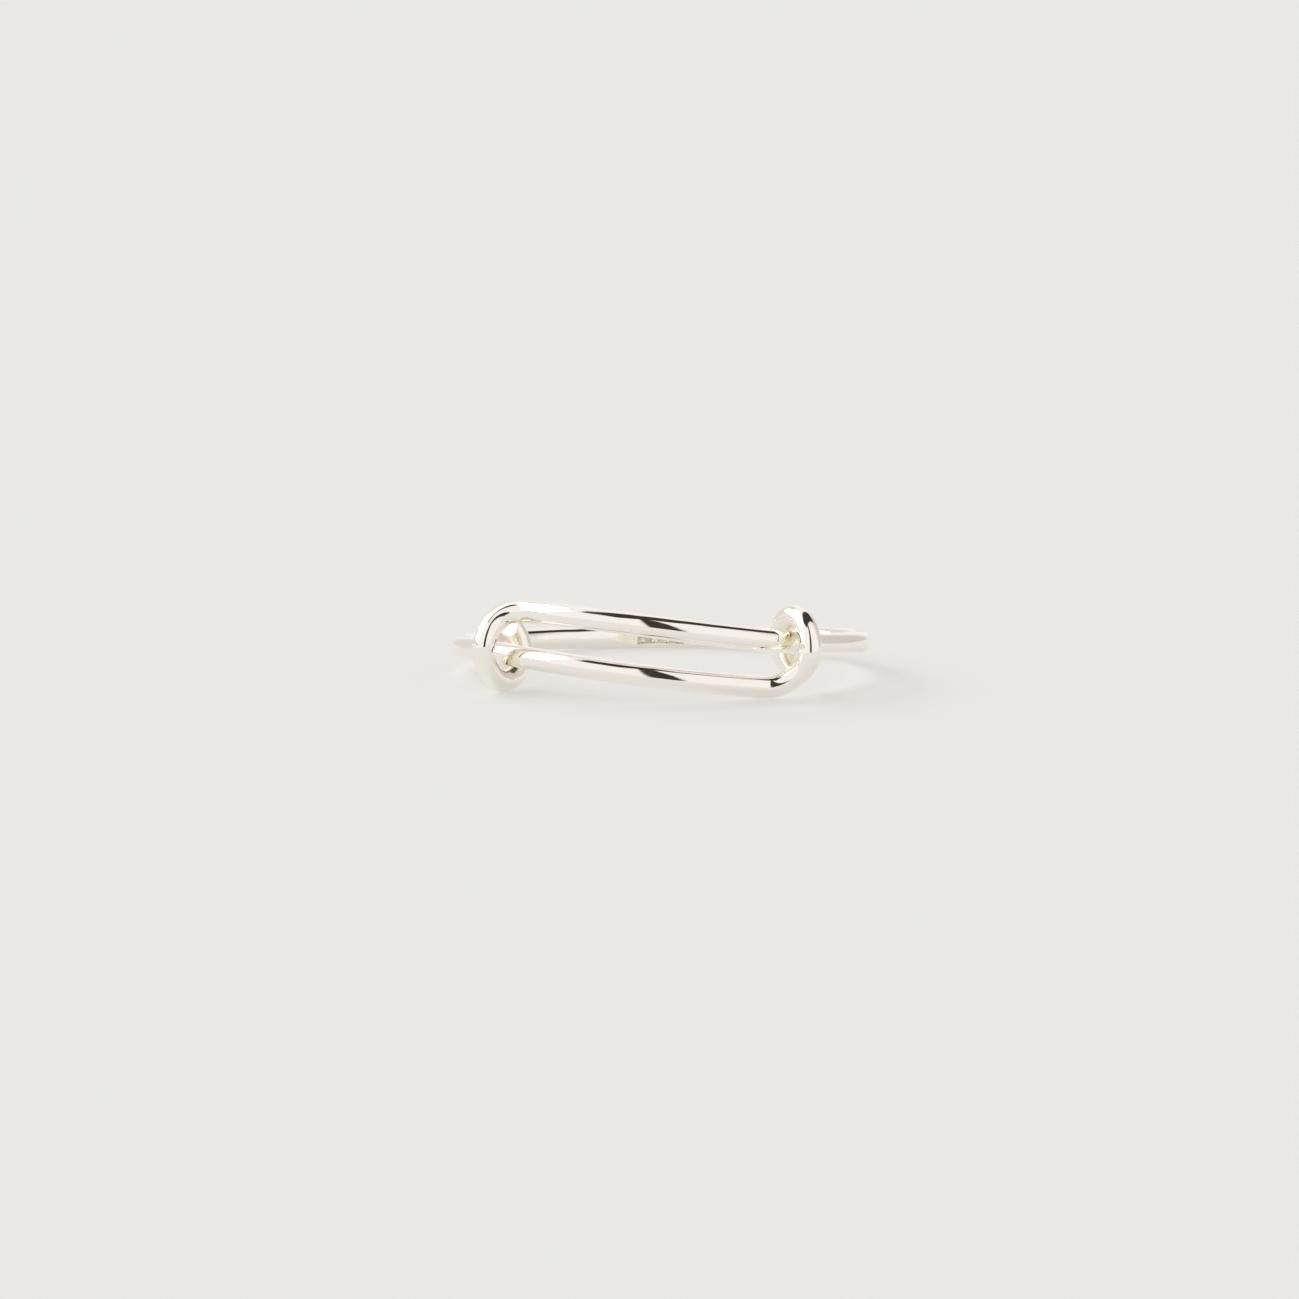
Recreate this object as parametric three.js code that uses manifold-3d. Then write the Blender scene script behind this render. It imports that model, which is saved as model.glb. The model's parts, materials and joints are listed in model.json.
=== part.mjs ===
// Adjustable finger ring, bent from one length of round silver wire.
//
// The wire runs round the back as the shank. Its two halves overlap across the front as an upper
// and a lower rail, and each ends in a bend and a single open coil that hooks round the other
// rail. When the shank is eased open or shut, the coils slide along the rails and the size changes.
//
// Lengths are millimetres and angles are degrees. The wire is laid out in the ring's own frame:
// +X to the right, +Y to the back and +Z along the ring's axis. A station is a distance along one
// half of the wire, from 0 at the middle of the back. Both halves are laid out as the right-hand
// one, each with its own bend, and the left-hand half is then turned half a turn about Y.

import * as THREE from 'three';
import { mergeVertices } from 'three/addons/utils/BufferGeometryUtils.js';
import Module from 'manifold-3d';

const wasm = await Module();
wasm.setup();

const radians = THREE.MathUtils.degToRad;

// Wire and ring.
const wireRadius = 0.5;
const insideDiameter = 17.2;
const ringRadius = insideDiameter / 2 + wireRadius;

// Height of the wire above the middle plane of the ring, along one half.
const shoulderRise = 0.22;
const railRise = 1.68;
const shoulderSettles = -55;
const railClimbStart = -64;
const railClimbEnd = 49;

// The bend at each rail's end. Bent by hand, they differ: the left one is tighter and starts
// further round. A corner cut is the share by which the bend draws in towards the other rail.
const leftBend = { startAngle: 34.6, radius: 1.3, cornerCut: 0.05 };
const rightBend = { startAngle: 30.4, radius: 2, cornerCut: 0.12 };

// The coil after the bend. It starts square to the ring and draws away from the middle of the
// front faster and faster, so that its tip clears the bend.
const coilRadius = 1.52;
const coilDrift = 0.04;
const coilBlendAngle = 60;
const tipStartTurn = 272;
const tipEndTurn = 308;

// Where the halves divide, as angles from the middle of the back.
const flexAngles = [57, 89.5, 122];
const shoulderEndAngle = 144;

// Gaps at the places where the wire flexes, and between pieces that move together.
const flexGap = 0.12;
const seamGap = 0.02;

// The flat inside the back, where a maker's punch would strike, a little left of the middle.
const flatLength = 2.2;
const flatDepth = 0.1;
const flatAngle = 5;

// Facets.
const sectionSides = 12;
const bandStep = 0.9;
const coilStep = 0.27;

// The ring leans on its coils, so its front stands this much higher than its back.
const coilAngle = 45.7;
const restTilt = Math.asin(coilRadius / (ringRadius * (1 + Math.cos(radians(coilAngle)))));

const silver = new THREE.MeshStandardMaterial({ color: 0xece8df, metalness: 1, roughness: 0.12 });

function smoothStep(value) {
  const t = THREE.MathUtils.clamp(value, 0, 1);
  return t * t * (3 - 2 * t);
}

function wireHeight(angle) {
  const settled = THREE.MathUtils.clamp((180 + angle) / (180 + shoulderSettles), 0, 1);
  const shoulder = shoulderRise * Math.sin(settled * Math.PI / 2);
  const climbed = smoothStep((angle - railClimbStart) / (railClimbEnd - railClimbStart));
  return shoulder + (railRise - shoulderRise) * climbed;
}

function ringPoint(angle, radius, height) {
  return new THREE.Vector3(-radius * Math.sin(angle), -radius * Math.cos(angle), height);
}

// One half of the wire: a point for each station, with the bend and coil at the rail's end.
class HalfWire {
  constructor(bend) {
    this.bend = bend;
    this.railEnd = ringRadius * radians(180 + bend.startAngle);
    this.bendEnd = this.railEnd + bend.radius * Math.PI / 2;
  }

  // The station at which the coil has turned through an angle from the top of its rail.
  coilStation(turn) {
    return this.bendEnd + coilRadius * radians(turn) - this.bend.radius;
  }

  // The bend and coil, unrolled flat: how far along the ring and how far round the coil.
  unrolled(station) {
    const turned = (Math.min(station, this.bendEnd) - this.railEnd) / this.bend.radius;
    const wound = Math.max(station - this.bendEnd, 0);
    return {
      along: this.bend.radius * Math.sin(turned) + coilDrift * wound ** 2,
      round: this.bend.radius * (1 - Math.cos(turned)) + wound,
    };
  }

  bandPoint(station) {
    const angle = station / ringRadius - Math.PI;
    return ringPoint(angle, ringRadius, wireHeight(THREE.MathUtils.radToDeg(angle)));
  }

  coilPoint(station) {
    const { along, round } = this.unrolled(station);
    const angle = radians(this.bend.startAngle) + along / ringRadius;
    const turn = round / coilRadius;
    const blend = smoothStep(turn / radians(coilBlendAngle));
    const railHeight = wireHeight(THREE.MathUtils.radToDeg(angle));
    const corner = Math.sin(2 * Math.min(turn, Math.PI / 2));
    const drawnIn = 1 - this.bend.cornerCut * corner ** 2;
    const reach = drawnIn * THREE.MathUtils.lerp(railHeight, coilRadius, blend);
    return ringPoint(angle, ringRadius + reach * Math.sin(turn), reach * Math.cos(turn));
  }

  point(station) {
    if (station < 0) {
      const opposite = this.bandPoint(-station);
      return opposite.set(-opposite.x, opposite.y, -opposite.z);
    }
    return station <= this.railEnd ? this.bandPoint(station) : this.coilPoint(station);
  }
}

class WirePath extends THREE.Curve {
  constructor(wire, from, to) {
    super();
    this.wire = wire;
    this.from = from;
    this.to = to;
  }

  getPoint(t) {
    return this.wire.point(THREE.MathUtils.lerp(this.from, this.to, t));
  }
}

function wireSection() {
  const corners = [];
  for (let side = 0; side < sectionSides; side += 1) {
    const turn = (2 * Math.PI * side) / sectionSides;
    corners.push(new THREE.Vector2(wireRadius * Math.cos(turn), wireRadius * Math.sin(turn)));
  }
  return new THREE.Shape(corners);
}

function wireGeometry(wire, from, to, step) {
  const steps = Math.ceil((to - from) / step);
  const path = new WirePath(wire, from, to);
  return new THREE.ExtrudeGeometry(wireSection(), { steps, extrudePath: path });
}

function toSolid(geometry) {
  const plain = geometry.clone();
  plain.deleteAttribute('normal');
  plain.deleteAttribute('uv');
  const merged = mergeVertices(plain);
  const vertProperties = new Float32Array(merged.getAttribute('position').array);
  const triVerts = new Uint32Array(merged.index.array);
  return new wasm.Manifold(new wasm.Mesh({ numProp: 3, vertProperties, triVerts }));
}

function toGeometry(solid) {
  const mesh = solid.getMesh();
  const geometry = new THREE.BufferGeometry();
  geometry.setAttribute('position', new THREE.BufferAttribute(mesh.vertProperties, 3));
  geometry.setIndex(new THREE.BufferAttribute(mesh.triVerts, 1));
  geometry.computeVertexNormals();
  return geometry;
}

// A block with sloping ends that presses the flat into the inside of the back.
function flatCutter() {
  const face = ringRadius - wireRadius + flatDepth;
  const half = flatLength / 2;
  const depth = 2 * wireRadius;
  const profile = new THREE.Shape([
    new THREE.Vector2(-half - depth, face - depth),
    new THREE.Vector2(half + depth, face - depth),
    new THREE.Vector2(half, face),
    new THREE.Vector2(-half, face),
  ]);
  const height = 4 * wireRadius;
  const cutter = new THREE.ExtrudeGeometry(profile, { depth: height, bevelEnabled: false });
  return cutter.translate(0, 0, -height / 2).rotateZ(radians(flatAngle));
}

function backBand() {
  const half = ringRadius * radians(flexAngles[0]) - flexGap / 2;
  const band = toSolid(wireGeometry(new HalfWire(leftBend), -half, half, bandStep));
  return toGeometry(band.subtract(toSolid(flatCutter())));
}

function addPiece(group, name, geometry) {
  const piece = new THREE.Mesh(geometry, silver);
  piece.name = name;
  group.add(piece);
}

// One half of the wire beyond the back band: two springy shank pieces, the shoulder that runs
// through the other half's coil, the rail across the front, and the bend, coil and tip at its end.
function wireHalf(bend, names) {
  const half = new THREE.Group();
  const wire = new HalfWire(bend);
  const flexes = flexAngles.map((angle) => ringRadius * radians(angle));
  const shoulderEnd = ringRadius * radians(shoulderEndAngle);
  const tipStart = wire.coilStation(tipStartTurn);
  const tipEnd = wire.coilStation(tipEndTurn);
  const flex = flexGap / 2;
  const seam = seamGap / 2;
  const pieces = [
    [names.rear, flexes[0] + flex, flexes[1] - flex, bandStep],
    [names.front, flexes[1] + flex, flexes[2] - flex, bandStep],
    [names.shoulder, flexes[2] + flex, shoulderEnd - seam, bandStep],
    [names.rail, shoulderEnd + seam, wire.railEnd - seam, bandStep],
    [names.bend, wire.railEnd + seam, wire.bendEnd - seam, coilStep],
    [names.coil, wire.bendEnd + seam, tipStart - seam, coilStep],
    [names.tip, tipStart + seam, tipEnd, coilStep],
  ];
  for (const [name, from, to, step] of pieces) {
    addPiece(half, name, wireGeometry(wire, from, to, step));
  }
  return half;
}

function wireRing() {
  const ring = new THREE.Group();
  addPiece(ring, 'back_band', backBand());
  ring.add(wireHalf(leftBend, {
    rear: 'right_shank_rear',
    front: 'right_shank_front',
    shoulder: 'right_shoulder',
    rail: 'upper_rail',
    bend: 'left_bend',
    coil: 'left_coil',
    tip: 'left_coil_tip',
  }));
  const leftHalf = wireHalf(rightBend, {
    rear: 'left_shank_rear',
    front: 'left_shank_front',
    shoulder: 'left_shoulder',
    rail: 'lower_rail',
    bend: 'right_bend',
    coil: 'right_coil',
    tip: 'right_coil_tip',
  });
  leftHalf.rotation.y = Math.PI;
  ring.add(leftHalf);
  return ring;
}

// Lean the ring on its coils, then stand it on Z = 0 with its middle over the origin.
function standOnSurface(ring) {
  ring.rotation.x = -restTilt;
  const box = new THREE.Box3().setFromObject(ring, true);
  const middle = box.getCenter(new THREE.Vector3());
  ring.position.set(-middle.x, -middle.y, -box.min.z);
}

const ring = wireRing();
standOnSurface(ring);

const part = new THREE.Group();
part.add(ring);

export default part;
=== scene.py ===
# Adjustable finger ring, bent from one length of round silver wire.
#
# The centre line below repeats the part's own layout, in millimetres and degrees, in the ring's
# frame: +X to the right, +Y to the back and +Z along the ring's axis. A station is a distance along
# the wire from the middle of the back: positive along the half that starts on the right, negative
# along the other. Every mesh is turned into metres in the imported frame.

import json
import math

import bpy
import numpy as np
from mathutils import Matrix, Vector


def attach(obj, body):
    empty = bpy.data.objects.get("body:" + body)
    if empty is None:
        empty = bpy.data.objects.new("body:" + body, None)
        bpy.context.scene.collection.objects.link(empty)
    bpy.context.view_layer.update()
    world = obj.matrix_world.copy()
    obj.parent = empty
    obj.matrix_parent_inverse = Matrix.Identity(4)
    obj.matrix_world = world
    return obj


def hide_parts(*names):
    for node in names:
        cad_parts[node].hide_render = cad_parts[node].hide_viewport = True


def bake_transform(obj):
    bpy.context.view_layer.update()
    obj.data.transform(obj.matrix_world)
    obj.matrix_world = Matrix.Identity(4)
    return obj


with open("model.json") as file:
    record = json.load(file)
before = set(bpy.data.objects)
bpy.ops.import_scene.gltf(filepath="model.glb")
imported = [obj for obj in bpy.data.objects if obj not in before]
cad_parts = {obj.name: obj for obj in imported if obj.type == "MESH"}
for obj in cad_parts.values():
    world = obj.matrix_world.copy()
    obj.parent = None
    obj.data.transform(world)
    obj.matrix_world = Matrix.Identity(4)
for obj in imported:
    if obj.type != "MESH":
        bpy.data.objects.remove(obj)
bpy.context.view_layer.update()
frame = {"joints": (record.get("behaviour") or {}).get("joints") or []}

METRES = 0.001

# Wire and ring.
WIRE_RADIUS = 0.5
RING_RADIUS = 9.1
SHOULDER_RISE = 0.22
RAIL_RISE = 1.68
SHOULDER_SETTLES = -55
RAIL_CLIMB_START = -64
RAIL_CLIMB_END = 49

# The bend and coil at each rail's end.
LEFT_BEND = {"start_angle": 34.6, "radius": 1.3, "corner_cut": 0.05}
RIGHT_BEND = {"start_angle": 30.4, "radius": 2.0, "corner_cut": 0.12}
COIL_RADIUS = 1.52
COIL_DRIFT = 0.04
COIL_BLEND_ANGLE = 60
TIP_START_TURN = 272
TIP_END_TURN = 308

# Each point of the centre line is averaged with its neighbours, up to EASING_REACH along the wire.
# Their weights fall evenly, and would be nought at EASING_FALL times as far.
EASING_REACH = 0.4
EASING_SAMPLES = 9
EASING_FALL = 1.2

# Angles from the middle of the back, where the flexible lengths begin and end, where the shoulder
# ends, and where the rear hinge lies.
SPRING_ANGLES = (28.5, 73.25, 105.75, 133)
SHOULDER_END_ANGLE = 144
REAR_FLEX_ANGLE = 57
SPRING_INSET = 0.25

# The flat inside the back, the slope at its two ends, and the row of plain round punch dots on it.
# The edge shares are how much of the flat's depth and of a dot's radius its edge takes.
FLAT_LENGTH = 2.2
FLAT_DEPTH = 0.1
FLAT_ANGLE = 5
FLAT_RUN_OUT = 0.35
FLAT_EDGE_SHARE = 0.25
DOT_COUNT = 4
DOT_SPACING = 0.55
DOT_RADIUS = 0.1
DOT_EDGE_SHARE = 0.8
DOT_DEPTH = 0.022
DOT_HEIGHT = -0.18

# The ends of the wire, nipped to a blunt wedge.
NIP_LENGTH = 0.5
NIP_LEFT = 0.3
NIP_TURN = 35

# Mesh steps along the wire and sides round it.
BAND_STEP = 0.2
FINE_STEP = 0.08
FLAT_STEP = 0.03
FLAT_STEP_REACH = 0.75 * FLAT_LENGTH
TIP_STEP = 0.04
SIDES = 48
FLAT_SIDES = 120

# How the ring leans on its coils.
COIL_ANGLE = 45.7
REST_TILT = math.asin(COIL_RADIUS / (RING_RADIUS * (1 + math.cos(math.radians(COIL_ANGLE)))))


def smooth_step(value):
    t = np.clip(value, 0, 1)
    return t * t * (3 - 2 * t)


def wire_height(angle):
    """Height of a rail's centre line above the ring's middle plane, at an angle from the front."""
    settled = np.clip((180 + angle) / (180 + SHOULDER_SETTLES), 0, 1)
    shoulder = SHOULDER_RISE * np.sin(settled * math.pi / 2)
    climbed = smooth_step((angle - RAIL_CLIMB_START) / (RAIL_CLIMB_END - RAIL_CLIMB_START))
    return shoulder + (RAIL_RISE - SHOULDER_RISE) * climbed


def ring_points(angle, radius, height):
    return np.stack([-radius * np.sin(angle), -radius * np.cos(angle), height + 0 * angle], axis=-1)


class HalfWire:
    """One half of the wire, laid out as the right-hand one."""

    def __init__(self, start_angle, radius, corner_cut):
        self.start_angle = start_angle
        self.radius = radius
        self.corner_cut = corner_cut
        self.rail_end = RING_RADIUS * math.radians(180 + start_angle)
        self.bend_end = self.rail_end + radius * math.pi / 2

    def coil_station(self, turn):
        """The station at which the coil has turned through an angle from the top of its rail."""
        return self.bend_end + COIL_RADIUS * math.radians(turn) - self.radius

    def band_points(self, stations):
        angle = stations / RING_RADIUS - math.pi
        return ring_points(angle, RING_RADIUS, wire_height(np.degrees(angle)))

    def coil_points(self, stations):
        turned = (np.minimum(stations, self.bend_end) - self.rail_end) / self.radius
        wound = np.maximum(stations - self.bend_end, 0)
        along = self.radius * np.sin(turned) + COIL_DRIFT * wound**2
        turn = (self.radius * (1 - np.cos(turned)) + wound) / COIL_RADIUS
        angle = math.radians(self.start_angle) + along / RING_RADIUS
        blend = smooth_step(turn / math.radians(COIL_BLEND_ANGLE))
        corner = np.sin(2 * np.minimum(turn, math.pi / 2))
        rail_height = wire_height(np.degrees(angle))
        reach = (1 - self.corner_cut * corner**2) * (rail_height + (COIL_RADIUS - rail_height) * blend)
        return ring_points(angle, RING_RADIUS + reach * np.sin(turn), reach * np.cos(turn))

    def points(self, stations):
        on_band = (stations <= self.rail_end)[:, None]
        band = self.band_points(np.minimum(stations, self.rail_end))
        coil = self.coil_points(np.maximum(stations, self.rail_end))
        return np.where(on_band, band, coil)


right_half = HalfWire(**LEFT_BEND)
left_half = HalfWire(**RIGHT_BEND)
turned_over = np.array([-1.0, 1.0, -1.0])


def bent_points(stations):
    """Centre line of the whole wire before its bends are eased, one point for each station."""
    on_right = (stations >= 0)[:, None]
    right = right_half.points(np.maximum(stations, 0))
    left = left_half.points(np.maximum(-stations, 0)) * turned_over
    return np.where(on_right, right, left)


def wire_points(stations):
    """Centre line of the whole wire. Its curvature changes gradually into and out of each bend."""
    offsets = np.linspace(-EASING_REACH, EASING_REACH, EASING_SAMPLES)
    weights = EASING_REACH * EASING_FALL - np.abs(offsets)
    nearby = [bent_points(stations + offset) for offset in offsets]
    return np.average(nearby, axis=0, weights=weights)


def wire_tangents(stations):
    reach = 0.001
    steps = wire_points(stations + reach) - wire_points(stations - reach)
    return steps / np.linalg.norm(steps, axis=1, keepdims=True)


def angle_station(angle):
    return RING_RADIUS * math.radians(angle)


def stretch(start, end, step):
    """Even stations from start up to, but not including, end."""
    count = max(2, math.ceil((end - start) / step))
    return np.linspace(start, end, count, endpoint=False)


def half_marks(half):
    """The stations at which one half of the wire divides, and the mesh step after each."""
    flat_end = angle_station(FLAT_ANGLE) + FLAT_STEP_REACH
    springs = [angle_station(angle) for angle in SPRING_ANGLES]
    return [
        (0, FLAT_STEP),
        (flat_end, BAND_STEP),
        *((station, BAND_STEP) for station in springs),
        (angle_station(SHOULDER_END_ANGLE), BAND_STEP),
        (half.rail_end, FINE_STEP),
        (half.bend_end, FINE_STEP),
        (half.coil_station(TIP_START_TURN), TIP_STEP),
        (half.coil_station(TIP_END_TURN), None),
    ]


def half_stations(half):
    marks = half_marks(half)
    runs = [stretch(a[0], b[0], a[1]) for a, b in zip(marks, marks[1:])]
    return np.concatenate([*runs, [marks[-1][0]]])


def carried_normals(tangents, first):
    """Section directions carried along the wire with no twist, starting from first."""
    normals = np.zeros_like(tangents)
    current = first
    for i, tangent in enumerate(tangents):
        current = current - tangent * current.dot(tangent)
        current = current / np.linalg.norm(current)
        normals[i] = current
    return normals


class Wire:
    """The whole wire: its stations, centre line and section directions."""

    def __init__(self):
        left = half_stations(left_half)
        right = half_stations(right_half)
        self.stations = np.concatenate([-left[:0:-1], right])
        self.centres = wire_points(self.stations)
        self.tangents = wire_tangents(self.stations)
        middle = len(left) - 1
        outward = np.array([0.0, 1.0, 0.0])
        forward = carried_normals(self.tangents[middle:], outward)
        backward = carried_normals(self.tangents[middle::-1], outward)
        self.normals = np.concatenate([backward[:0:-1], forward])
        self.sideways = np.cross(self.tangents, self.normals)

    def index(self, station):
        return int(np.argmin(np.abs(self.stations - station)))


def flatten_back(points):
    """Presses the flat and its dots into the inside of the back.

    Returns the points, and at each of them how far it is on the flat, from 0 to 1.
    """
    turn = math.radians(FLAT_ANGLE)
    across = points[..., 0] * math.cos(turn) + points[..., 1] * math.sin(turn)
    depth = points[..., 1] * math.cos(turn) - points[..., 0] * math.sin(turn)
    face = RING_RADIUS - WIRE_RADIUS + FLAT_DEPTH
    face = face - FLAT_RUN_OUT * np.maximum(np.abs(across) - FLAT_LENGTH / 2, 0)
    at_back = depth > RING_RADIUS - 2 * WIRE_RADIUS
    pushed = np.where(at_back, np.maximum(face - depth, 0), 0)
    pressed = np.clip(pushed / (FLAT_EDGE_SHARE * FLAT_DEPTH), 0, 1)
    for dot in range(DOT_COUNT):
        middle = (dot - (DOT_COUNT - 1) / 2) * DOT_SPACING
        away = np.hypot(across - middle, points[..., 2] - DOT_HEIGHT) / DOT_RADIUS
        pushed += DOT_DEPTH * pressed * smooth_step((1 - away) / DOT_EDGE_SHARE)
    inward = np.array([-math.sin(turn), math.cos(turn), 0.0])
    return points + pushed[..., None] * inward, pressed


def nip_tips(wire, points):
    """Nips the two ends of the wire to a blunt wedge, as cutters leave them."""
    ends = np.array([wire.stations[0], wire.stations[-1]])
    left = np.min(np.abs(wire.stations[:, None] - ends), axis=1)
    nipped = np.clip(1 - left / NIP_LENGTH, 0, 1)[:, None]
    turn = math.radians(NIP_TURN)
    pinch = math.cos(turn) * wire.normals + math.sin(turn) * wire.sideways
    offsets = points - wire.centres[:, None]
    across = np.einsum("ijk,ik->ij", offsets, pinch)
    half = WIRE_RADIUS * (1 - (1 - NIP_LEFT) * nipped)
    change = np.clip(across, -half, half) - across
    change = np.where(nipped > 0, change, 0)
    return points + change[..., None] * pinch[:, None]


def wire_skin(wire, sides):
    """The wire's surface as grids, with one row for each station.

    Returns the points, their outward normals, and how far each point is on the flat.
    """
    turns = 2 * math.pi * np.arange(sides) / sides
    outward = (
        np.cos(turns)[None, :, None] * wire.normals[:, None]
        + np.sin(turns)[None, :, None] * wire.sideways[:, None]
    )
    points = wire.centres[:, None] + WIRE_RADIUS * outward
    points, pressed = flatten_back(points)
    points = nip_tips(wire, points)
    along = np.gradient(points, axis=0)
    around = np.roll(points, -1, axis=1) - np.roll(points, 1, axis=1)
    normals = np.cross(around, along)
    return points, normals / np.linalg.norm(normals, axis=2, keepdims=True), pressed


# The ring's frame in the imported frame. Its place comes from the right rear hinge, which lies on the
# wire's centre line.
lean = Matrix.Rotation(-REST_TILT, 3, "X")
joints = {joint["name"]: joint for joint in frame["joints"]}


def ring_origin():
    """Where the ring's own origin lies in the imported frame, in metres."""
    station = angle_station(REAR_FLEX_ANGLE)
    on_wire = bent_points(np.array([station]))[0]
    return Vector(joints["right_rear_flex"]["pos_m"]) - lean @ Vector(on_wire) * METRES


origin = ring_origin()


def to_packed(points):
    """Ring-frame millimetres to packed-frame metres."""
    turned = np.asarray(points) @ np.array(lean).T
    return turned * METRES + np.array(origin)


def packed_point(station):
    return Vector(to_packed(wire_points(np.array([station])))[0])


# Camera, a little to the right of the front and a little above it. The aim is how far it looks to
# the side of the ring's own origin and above it, in metres.
CAMERA_AZIMUTH = 4.9
CAMERA_ELEVATION = 7.75
CAMERA_DISTANCE = 0.26
CAMERA_LENS = 158.2
SENSOR_WIDTH = 36
AIM_RIGHT = -0.000541
AIM_UP = -0.000276


def make_camera():
    azimuth = math.radians(CAMERA_AZIMUTH)
    elevation = math.radians(CAMERA_ELEVATION)
    right = Vector((math.cos(azimuth), math.sin(azimuth), 0))
    level = math.cos(elevation)
    back = Vector((math.sin(azimuth) * level, -math.cos(azimuth) * level, math.sin(elevation)))
    up = back.cross(right)
    data = bpy.data.cameras.new("camera")
    data.lens = CAMERA_LENS
    data.sensor_width = SENSOR_WIDTH
    data.clip_start = 0.01
    data.clip_end = 100
    camera = bpy.data.objects.new("camera", data)
    bpy.context.scene.collection.objects.link(camera)
    aim = origin + right * AIM_RIGHT + up * AIM_UP
    turned = Matrix((right, up, back)).transposed().to_4x4()
    camera.matrix_world = Matrix.Translation(aim + back * CAMERA_DISTANCE) @ turned
    bpy.context.scene.camera = camera


class Nodes:
    """Adds nodes to a tree. An input is given by its name or number, as a value or a socket."""

    def __init__(self, tree):
        self.tree = tree
        tree.nodes.clear()

    def add(self, kind, inputs=None, **settings):
        node = self.tree.nodes.new(kind)
        for name, value in settings.items():
            setattr(node, name, value)
        for name, value in (inputs or {}).items():
            if isinstance(value, bpy.types.NodeSocket):
                self.tree.links.new(value, node.inputs[name])
            else:
                node.inputs[name].default_value = value
        return node

    def maths(self, operation, *values):
        node = self.add("ShaderNodeMath", dict(enumerate(values)), operation=operation)
        return node.outputs[0]

    def vector(self, operation, *values):
        node = self.add("ShaderNodeVectorMath", dict(enumerate(values)), operation=operation)
        return node.outputs["Vector"]

    def dot(self, first, second):
        node = self.add("ShaderNodeVectorMath", {0: first, 1: second}, operation="DOT_PRODUCT")
        return node.outputs["Value"]

    def fade(self, value, start, end, low=0.0, high=1.0):
        """Turns smoothly from low at start to high at end."""
        inputs = {"Value": value, "From Min": start, "From Max": end, "To Min": low, "To Max": high}
        node = self.add("ShaderNodeMapRange", inputs, interpolation_type="SMOOTHSTEP")
        return node.outputs["Result"]

    def noise(self, vector, scale, detail=2.0):
        inputs = {"Vector": vector, "Scale": scale, "Detail": detail}
        return self.add("ShaderNodeTexNoise", inputs).outputs["Fac"]

    def mix(self, factor, first, second):
        """Mixes two colours. The node numbers its colour sockets 6, 7 and 2."""
        node = self.add("ShaderNodeMix", {0: factor, 6: first, 7: second}, data_type="RGBA")
        return node.outputs[2]


# Polished silver. The scales say how fast each effect changes along the wire and across it both
# ways, per millimetre, and the heights are in metres.
SILVER = (0.985, 0.95, 0.895, 1)
# Darker, warmer silver facing into the coils and over the flat: painted shade and warm reflection,
# with some tarnish.
SHADE_AND_TARNISH_SILVER = (0.91, 0.82, 0.64, 1)
PATCH_SCALE = 1.3
LEAST_SHADE_AND_TARNISH = 0.45
LINE_SCALE = (0.35, 22.0, 22.0)
LINE_HEIGHT = 0.000001
SCUFF_SCALE = (2.4, 7.0, 7.0)
POLISHED = 0.035
SCUFFED = 0.11
SHELTERED_ROUGHNESS = 0.2
SHELTER_RUN_IN = 2.5
WAVER_SCALE = (0.9, 1.44, 1.44)
WAVER_HEIGHT = 0.000015


def silver_material():
    """Hand-polished silver: faint drawn lines, a slow waver, and darker, warmer colour facing into the
    coils and on the flat: painted shade and warm reflection, with some tarnish where a cloth can't
    reach.
    """
    material = bpy.data.materials.new("polished_silver")
    material.use_nodes = True
    nodes = Nodes(material.node_tree)
    place = nodes.add("ShaderNodeAttribute", attribute_name="wire_place").outputs["Vector"]
    shade_and_tarnish = nodes.add("ShaderNodeAttribute", attribute_name="shade_and_tarnish").outputs["Fac"]

    patches = nodes.noise(place, PATCH_SCALE, 3.0)
    # Mixes in the darker, warmer silver by its mask: painted shade and warm reflection, with some
    # tarnish, varied by noise.
    warm_shade_and_tarnish = nodes.maths("MULTIPLY", shade_and_tarnish, nodes.fade(patches, 0.3, 0.65, LEAST_SHADE_AND_TARNISH, 1.0))
    colour = nodes.mix(warm_shade_and_tarnish, SILVER, SHADE_AND_TARNISH_SILVER)

    scuffs = nodes.noise(nodes.vector("MULTIPLY", place, SCUFF_SCALE), 1.0, 4.0)
    polish = nodes.fade(scuffs, 0.4, 0.75, POLISHED, SCUFFED)
    roughness = nodes.maths("ADD", polish, nodes.maths("MULTIPLY", shade_and_tarnish, SHELTERED_ROUGHNESS))

    waver = nodes.noise(nodes.vector("MULTIPLY", place, WAVER_SCALE), 1.0, 1.0)
    waved = nodes.add("ShaderNodeBump", {"Height": waver, "Strength": 1.0, "Distance": WAVER_HEIGHT})
    lines = nodes.noise(nodes.vector("MULTIPLY", place, LINE_SCALE), 1.0, 3.0)
    lined = nodes.add(
        "ShaderNodeBump",
        {"Height": lines, "Strength": 1.0, "Distance": LINE_HEIGHT, "Normal": waved.outputs[0]},
    )
    shader = nodes.add(
        "ShaderNodeBsdfPrincipled",
        {
            "Base Color": colour,
            "Metallic": 1.0,
            "Roughness": roughness,
            "Normal": lined.outputs[0],
        },
    )
    nodes.add("ShaderNodeOutputMaterial", {"Surface": shader.outputs[0]})
    return material


def shade_and_tarnish_share(wire, normals):
    """How far each point faces into its coil, from 0 to 1: where painted shade and warm reflection go,
    with some tarnish where a polishing cloth hardly reaches.
    """
    flat = wire.centres * np.array([1.0, 1.0, 0.0])
    axis_points = flat / np.linalg.norm(flat, axis=1, keepdims=True) * RING_RADIUS
    away = wire.centres - axis_points
    away = away / np.maximum(np.linalg.norm(away, axis=1, keepdims=True), WIRE_RADIUS)
    facing_in = -np.einsum("ijk,ik->ij", normals, away)
    rail_end = np.where(wire.stations < 0, left_half.rail_end, right_half.rail_end)
    in_coil = smooth_step((np.abs(wire.stations) - rail_end) / SHELTER_RUN_IN)
    return smooth_step(facing_in) * in_coil[:, None]


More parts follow.
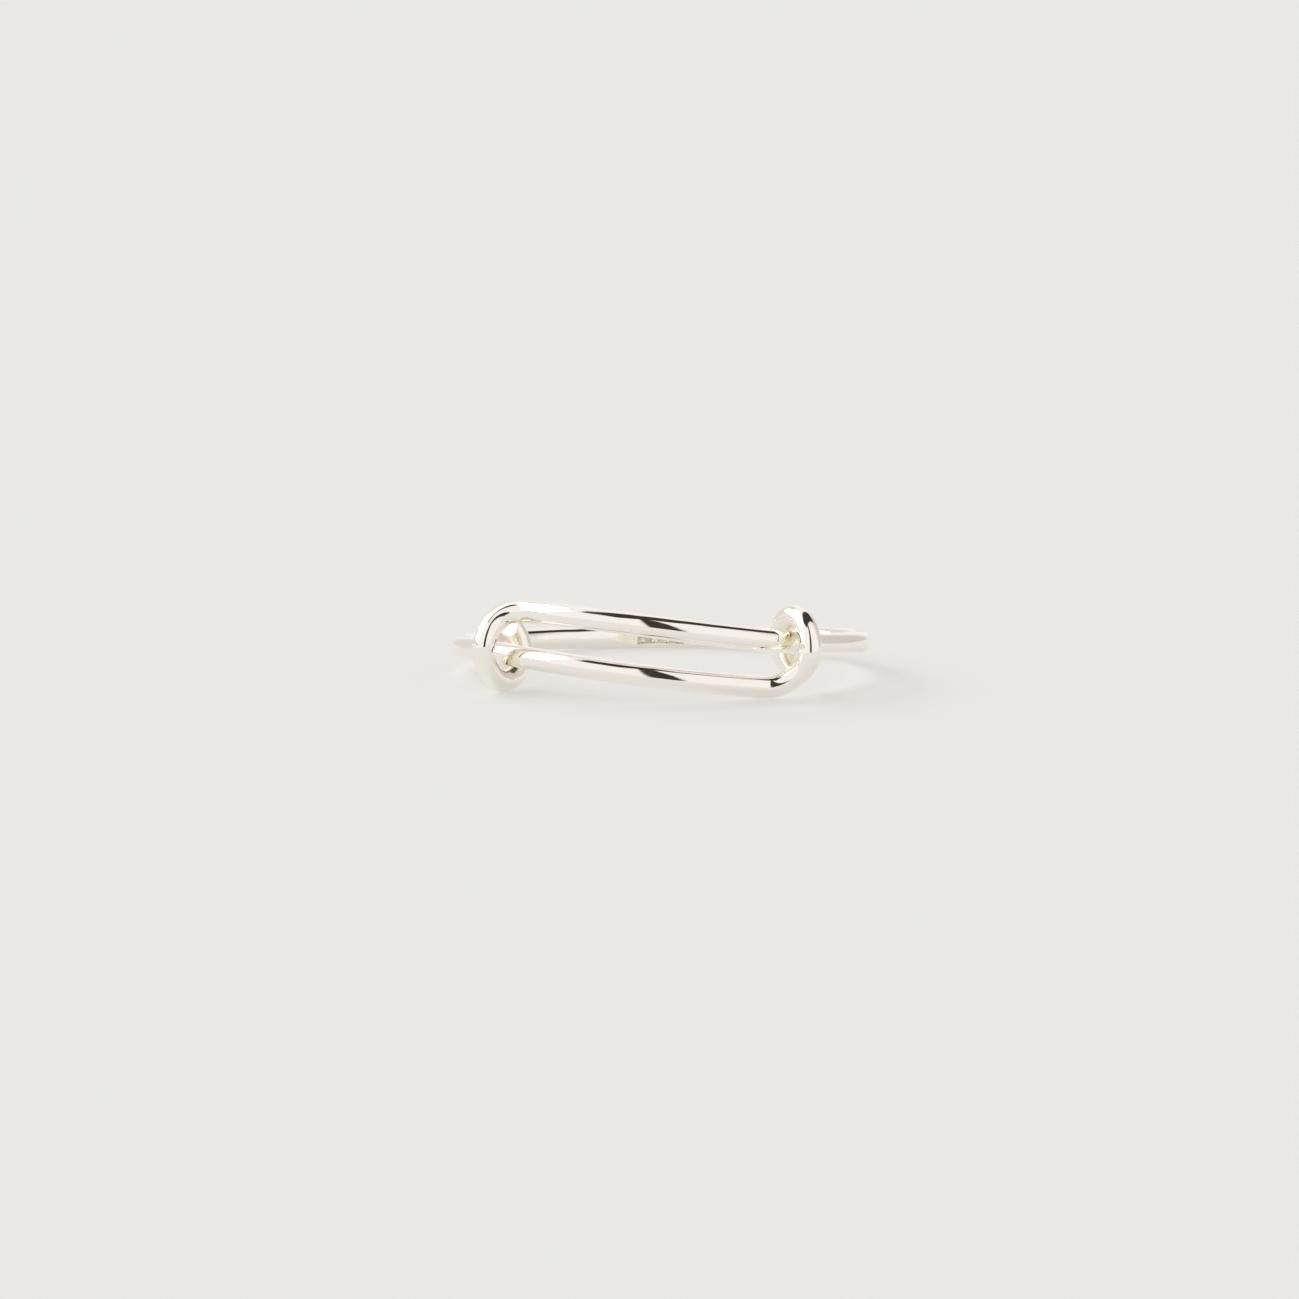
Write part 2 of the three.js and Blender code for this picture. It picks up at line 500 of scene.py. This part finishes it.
def wire_place(wire, sides):
    """Coordinates that follow the wire, in millimetres: along it, and across it both ways."""
    turns = 2 * math.pi * np.arange(sides) / sides
    along = np.repeat(wire.stations[:, None], sides, axis=1)
    across = np.repeat(WIRE_RADIUS * np.cos(turns)[None], len(wire.stations), axis=0)
    beside = np.repeat(WIRE_RADIUS * np.sin(turns)[None], len(wire.stations), axis=0)
    return np.stack([along, across, beside], axis=-1)


def tube_faces(rings, sides):
    """Quads between the rings, then a cap at each end."""
    side = np.arange(sides)
    after = (side + 1) % sides
    walls = []
    for ring in range(rings - 1):
        low = ring * sides
        high = low + sides
        walls.extend(zip(low + side, low + after, high + after, high + side))
    last = (rings - 1) * sides
    caps = [tuple(side[::-1]), tuple(last + side)]
    return [tuple(int(v) for v in face) for face in [*walls, *caps]]


def add_attribute(mesh, name, kind, values):
    attribute = mesh.attributes.new(name, kind, "POINT")
    field = "vector" if kind == "FLOAT_VECTOR" else "value"
    attribute.data.foreach_set(field, np.asarray(values, np.float32).ravel())


def corner_normals(mesh, wall_normals):
    """The skin's own normals on the walls, and flat ones on the two caps."""
    normals = wall_normals[[loop.vertex_index for loop in mesh.loops]]
    for cap in mesh.polygons[-2:]:
        normals[list(cap.loop_indices)] = cap.normal
    return normals


class Skin:
    """The surface of the whole wire, with what its material needs, ready to be cut into pieces."""

    def __init__(self, wire, sides):
        self.sides = sides
        points, normals, pressed = wire_skin(wire, sides)
        self.points = to_packed(points)
        self.normals = normals @ np.array(lean).T
        self.place = wire_place(wire, sides)
        # The mask for painted shade and warm reflection, with some tarnish: facing into the coils, and
        # over the whole flat.
        self.shade_and_tarnish = np.maximum(shade_and_tarnish_share(wire, normals), pressed)

    def piece(self, name, first, last, material):
        """One closed length of the wire, between two of its rings."""
        rings = slice(first, last + 1)
        points = self.points[rings].reshape(-1, 3)
        mesh = bpy.data.meshes.new(name)
        mesh.from_pydata(points.tolist(), [], tube_faces(last - first + 1, self.sides))
        add_attribute(mesh, "wire_place", "FLOAT_VECTOR", self.place[rings])
        add_attribute(mesh, "shade_and_tarnish", "FLOAT", self.shade_and_tarnish[rings])
        mesh.polygons.foreach_set("use_smooth", [True] * len(mesh.polygons))
        normals = corner_normals(mesh, self.normals[rings].reshape(-1, 3))
        mesh.normals_split_custom_set(normals.tolist())
        mesh.materials.append(material)
        piece = bpy.data.objects.new(name, mesh)
        bpy.context.scene.collection.objects.link(piece)
        return piece


wire = Wire()
skin = Skin(wire, SIDES)
silver = silver_material()


def length_of_wire(name, start, end, source=skin):
    first, last = sorted((wire.index(start), wire.index(end)))
    return source.piece(name, first, last, silver)


def make_back():
    """The back of the ring, with its flat and dots, meshed finely enough to show them."""
    end = angle_station(SPRING_ANGLES[0])
    piece = length_of_wire("wire_back", -end, end, Skin(wire, FLAT_SIDES))
    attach(piece, "back_band")
    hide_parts("back_band")


def make_spring(name, start, end, replaced):
    """A length of wire between two bodies, in place of the parts it replaces; it is not attached to
    either.
    """
    piece = length_of_wire(name, start, end)
    inset = math.copysign(SPRING_INSET, end - start)
    ends = packed_point(start + inset), packed_point(end - inset)
    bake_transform(piece)
    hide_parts(*replaced)


def make_half(half, sign, side, other_side, rail):
    """One half of the wire beyond the back: its springs, shoulder, rail, bend, coil and tip."""
    springs = [sign * angle_station(angle) for angle in SPRING_ANGLES]
    names = [f"{side}_spring_{place}" for place in ("rear", "middle", "front")]
    stands_for = [[f"{side}_shank_rear"], [f"{side}_shank_front"], [f"{side}_shoulder"]]
    for i, name in enumerate(names):
        make_spring(name, springs[i], springs[i + 1], stands_for[i])
    marks = [
        angle_station(SPRING_ANGLES[-1]),
        angle_station(SHOULDER_END_ANGLE),
        half.rail_end,
        half.bend_end,
        half.coil_station(TIP_START_TURN),
        half.coil_station(TIP_END_TURN),
    ]
    rigid = [
        (f"{side}_shoulder_wire", f"{side}_shoulder"),
        (f"{rail}_rail_wire", f"{rail}_rail"),
        (f"{other_side}_bend_wire", f"{other_side}_bend"),
        (f"{other_side}_coil_wire", f"{other_side}_coil"),
        (f"{other_side}_coil_nipped_tip", f"{other_side}_coil_tip"),
    ]
    for (name, node), start, end in zip(rigid, marks, marks[1:]):
        piece = length_of_wire(name, sign * start, sign * end)
        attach(piece, f"{side}_wire")
        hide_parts(node)


# The studio: a pale floor with a soft glow of its own, under a pale tent.
FLOOR_SIZE = 12
FLOOR_COLOUR = (0.485, 0.5, 0.52, 1)
FLOOR_GLOW = (0.405, 0.395, 0.358, 1)


def make_floor():
    mesh = bpy.data.meshes.new("floor")
    half = FLOOR_SIZE / 2
    corners = [(-half, -half, 0), (half, -half, 0), (half, half, 0), (-half, half, 0)]
    mesh.from_pydata(corners, [], [(0, 1, 2, 3)])
    material = bpy.data.materials.new("lit_card")
    material.use_nodes = True
    nodes = Nodes(material.node_tree)
    card = nodes.add("ShaderNodeBsdfDiffuse", {"Color": FLOOR_COLOUR})
    glow = nodes.add("ShaderNodeEmission", {"Color": FLOOR_GLOW, "Strength": 1.0})
    lit = nodes.add("ShaderNodeAddShader", {0: card.outputs[0], 1: glow.outputs[0]})
    nodes.add("ShaderNodeOutputMaterial", {"Surface": lit.outputs[0]})
    mesh.materials.append(material)
    floor = bpy.data.objects.new("floor", mesh)
    bpy.context.scene.collection.objects.link(floor)


# The tent's shapes, by direction. A (start, end) pair is where a shape fades in. The gap and the
# softbox's inner edge are laid out on a ceiling one unit up: a direction's place on it is its x and y
# over its z. The gap is measured along and across its own slant.
GAP_MIDDLE = (0.085, 0.12, 1.0)
GAP_ALONG = (0.597, 0.802, 0.0)
GAP_ACROSS = (0.802, -0.597, 0.0)
GAP_HALF_WIDTH = 0.22
GAP_LEAST_HALF_WIDTH = 0.05
GAP_WIDENING = 0.08
GAP_LEFT_END = -0.7
GAP_RIGHT_END = 1.1
GAP_END_FADE = 0.05
GAP_SIDE_FADE = 0.5

SOFTBOX_EDGE = (-0.36, 0.2, 1.0)
SOFTBOX_ACROSS = (0.923, -0.384, 0.0)
SOFTBOX_INNER = (0.0, -0.05)
SOFTBOX_RIGHT = (-0.25, -0.4)
SOFTBOX_FRONT_SLOPE = -0.6
SOFTBOX_FRONT = (0.0, 0.05)
SOFTBOX_REAR = (0.6, 0.4)
SOFTBOX_BOTTOM = (0.17, 0.2)
SILL_BOTTOM = 0.11
SILL_TOP = 0.16
SILL_FADE = 0.02
SILL_DARKNESS = 0.5

# The stand is laid out on an upright wall one unit in front.
STAND_MIDDLE = 0.145
STAND_HALF_WIDTH = 0.14
STAND_SIDE_FADE = 0.07
STAND_TOP = (3.6, 3.9)

REAR_RIGHT_ACROSS = (0.1, 0.5)
REAR_RIGHT_BACK = (-0.1, 0.4)
REAR_LEFT_ACROSS = (-0.1, -0.4)
REAR_LEFT_BACK = (0.4, 0.65)

SURROUND = (0.945, 0.915, 0.9, 1)
REAR_RIGHT = (0.62, 0.6, 0.57, 1)
REAR_LEFT = (0.74, 0.71, 0.68, 1)
SOFTBOX = (1.6, 1.6, 1.6, 1)
DARK = (0.045, 0.038, 0.03, 1)

# Keeps a division clear of nought.
LEAST_HEIGHT = 0.05
LEAST_AHEAD = 0.02


def inside(nodes, value, low, high, edge):
    """1 between low and high, fading to 0 over an edge outside them."""
    above = nodes.fade(value, low - edge, low)
    below = nodes.fade(value, high, high + edge, 1.0, 0.0)
    return nodes.maths("MULTIPLY", above, below)


def overhead_gap(nodes, on_ceiling):
    """A dark slanting gap overhead, wider towards the back."""
    from_gap = nodes.vector("SUBTRACT", on_ceiling, GAP_MIDDLE)
    along = nodes.dot(from_gap, GAP_ALONG)
    across = nodes.dot(from_gap, GAP_ACROSS)
    half_width = nodes.maths("MULTIPLY_ADD", along, GAP_WIDENING, GAP_HALF_WIDTH)
    share = nodes.maths("DIVIDE", across, nodes.maths("MAXIMUM", half_width, GAP_LEAST_HALF_WIDTH))
    long = inside(nodes, along, GAP_LEFT_END, GAP_RIGHT_END, GAP_END_FADE)
    wide = inside(nodes, share, -1.0, 1.0, GAP_SIDE_FADE)
    return nodes.maths("MULTIPLY", long, wide)


def left_softbox(nodes, on_ceiling, x, y, z):
    """The big softbox on the left, and the dim sill along its lower edge."""
    across = nodes.dot(nodes.vector("SUBTRACT", on_ceiling, SOFTBOX_EDGE), SOFTBOX_ACROSS)
    front = nodes.fade(nodes.maths("MULTIPLY_ADD", x, SOFTBOX_FRONT_SLOPE, y), *SOFTBOX_FRONT)
    left = nodes.maths("MULTIPLY", nodes.fade(x, *SOFTBOX_RIGHT), front)
    level = nodes.maths("MULTIPLY", left, nodes.fade(y, *SOFTBOX_REAR))
    sill = nodes.maths("MULTIPLY", level, inside(nodes, z, SILL_BOTTOM, SILL_TOP, SILL_FADE))
    inner = nodes.fade(across, *SOFTBOX_INNER)
    raised = nodes.maths("MULTIPLY", inner, nodes.fade(z, *SOFTBOX_BOTTOM))
    softbox = nodes.maths("MULTIPLY", level, raised)
    return softbox, nodes.maths("MULTIPLY", sill, SILL_DARKNESS)


def stand_in_front(nodes, x, y, z):
    """The dark camera stand."""
    ahead = nodes.maths("MAXIMUM", nodes.maths("MULTIPLY", y, -1.0), LEAST_AHEAD)
    beside = nodes.maths("SUBTRACT", nodes.maths("DIVIDE", x, ahead), STAND_MIDDLE)
    height = nodes.maths("DIVIDE", z, ahead)
    narrow = inside(nodes, beside, -STAND_HALF_WIDTH, STAND_HALF_WIDTH, STAND_SIDE_FADE)
    below_top = nodes.fade(height, *STAND_TOP, 1.0, 0.0)
    return nodes.maths("MULTIPLY", narrow, below_top)


def rear_corner(nodes, x, y, across, back):
    return nodes.maths("MULTIPLY", nodes.fade(x, *across), nodes.fade(y, *back))


def make_surround():
    """The tent: brighter on the left, dimmer at the back, with a dark gap overhead and a stand."""
    world = bpy.data.worlds.new("surround")
    world.use_nodes = True
    nodes = Nodes(world.node_tree)
    direction = nodes.add("ShaderNodeTexCoord").outputs["Generated"]
    x, y, z = nodes.add("ShaderNodeSeparateXYZ", {0: direction}).outputs
    scale = nodes.maths("DIVIDE", 1.0, nodes.maths("MAXIMUM", z, LEAST_HEIGHT))
    ceiling = nodes.add("ShaderNodeVectorMath", {0: direction, "Scale": scale}, operation="SCALE")
    gap = overhead_gap(nodes, ceiling.outputs[0])
    softbox, sill = left_softbox(nodes, ceiling.outputs[0], x, y, z)
    stand = stand_in_front(nodes, x, y, z)
    rear_right = rear_corner(nodes, x, y, REAR_RIGHT_ACROSS, REAR_RIGHT_BACK)
    rear_left = rear_corner(nodes, x, y, REAR_LEFT_ACROSS, REAR_LEFT_BACK)
    walls = nodes.mix(rear_left, nodes.mix(rear_right, SURROUND, REAR_RIGHT), REAR_LEFT)
    bright = nodes.mix(softbox, walls, SOFTBOX)
    dark = nodes.maths("MAXIMUM", nodes.maths("MAXIMUM", gap, sill), stand)
    colour = nodes.mix(dark, bright, DARK)
    background = nodes.add("ShaderNodeBackground", {"Color": colour, "Strength": 1.0})
    nodes.add("ShaderNodeOutputWorld", {"Surface": background.outputs[0]})
    bpy.context.scene.world = world


# One soft light, low at the rear left.
KEY_FROM = (-2.2, 2.0, 1.41)
KEY_STRENGTH = 0.5
KEY_ANGLE = 14


def make_key_light():
    data = bpy.data.lights.new("key", "SUN")
    data.energy = KEY_STRENGTH
    data.angle = math.radians(KEY_ANGLE)
    key = bpy.data.objects.new("key", data)
    bpy.context.scene.collection.objects.link(key)
    key.rotation_euler = Vector(KEY_FROM).to_track_quat("Z", "Y").to_euler()


def set_colours():
    view = bpy.context.scene.view_settings
    view.view_transform = "Standard"
    view.look = "None"


make_camera()
make_back()
make_half(right_half, 1, "right", "left", "upper")
make_half(left_half, -1, "left", "right", "lower")
make_floor()
make_surround()
make_key_light()
set_colours()
